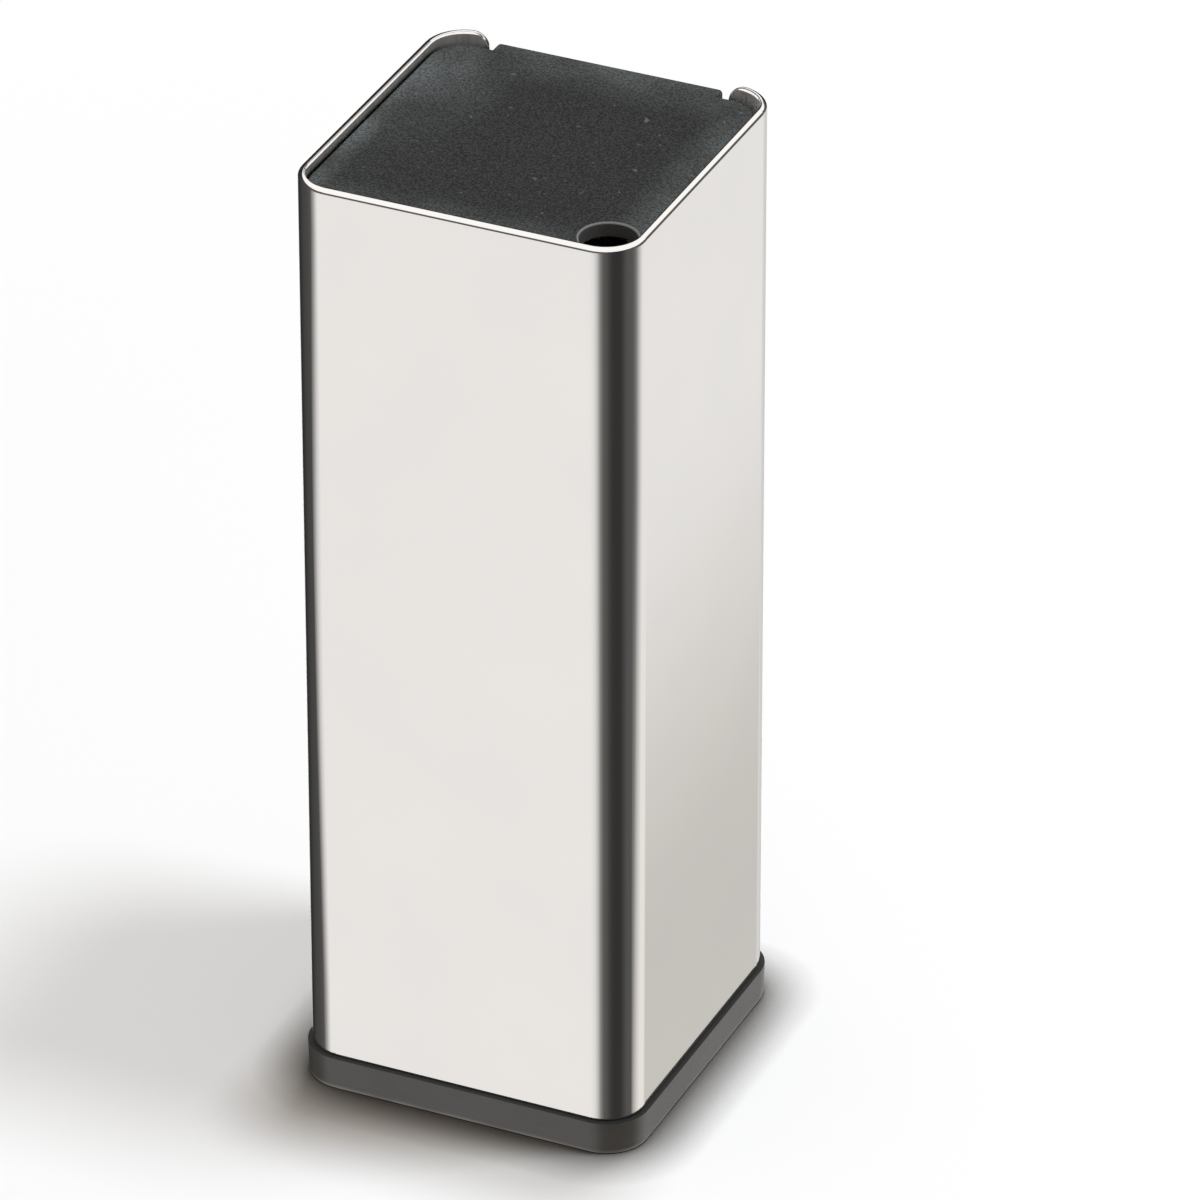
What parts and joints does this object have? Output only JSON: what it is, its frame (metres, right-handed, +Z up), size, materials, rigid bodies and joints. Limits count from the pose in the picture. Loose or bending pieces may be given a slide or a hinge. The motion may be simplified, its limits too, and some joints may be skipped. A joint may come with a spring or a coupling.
{
  "type": "toothpick dispenser",
  "caption": "Square upright toothpick dispenser: polished steel sleeve on a moulded base, see-saw refill lid with a corner hole for single picks.",
  "frame": {"origin": "centre of the base's underside, on the table", "axes": "+Z up along the sleeve; +Y to the rear, where the thumb cut-out is; +X to the side of the dispensing hole"},
  "size_m": [0.0326, 0.0326, 0.09],
  "materials": {
    "polished_steel": "mirror-polished stainless sheet",
    "base_plastic": "satin charcoal moulding",
    "collar_plastic": "plain black moulding",
    "lid_plastic": "fine spark-eroded grain, black",
    "pin_steel": "drawn wire"
  },
  "bodies": {
    "body": {"sleeve": "polished_steel", "base": "base_plastic", "collar": "collar_plastic"},
    "lid": {"lid": "lid_plastic", "hinge_pin": "pin_steel"}
  },
  "joints": [
    {"name": "lid_tilt", "type": "hinge", "parent": "body", "child": "lid", "pos_m": [0, 0.005, 0.08656], "axis": [-1, 0, 0], "range_deg": [0, 60]}
  ]
}
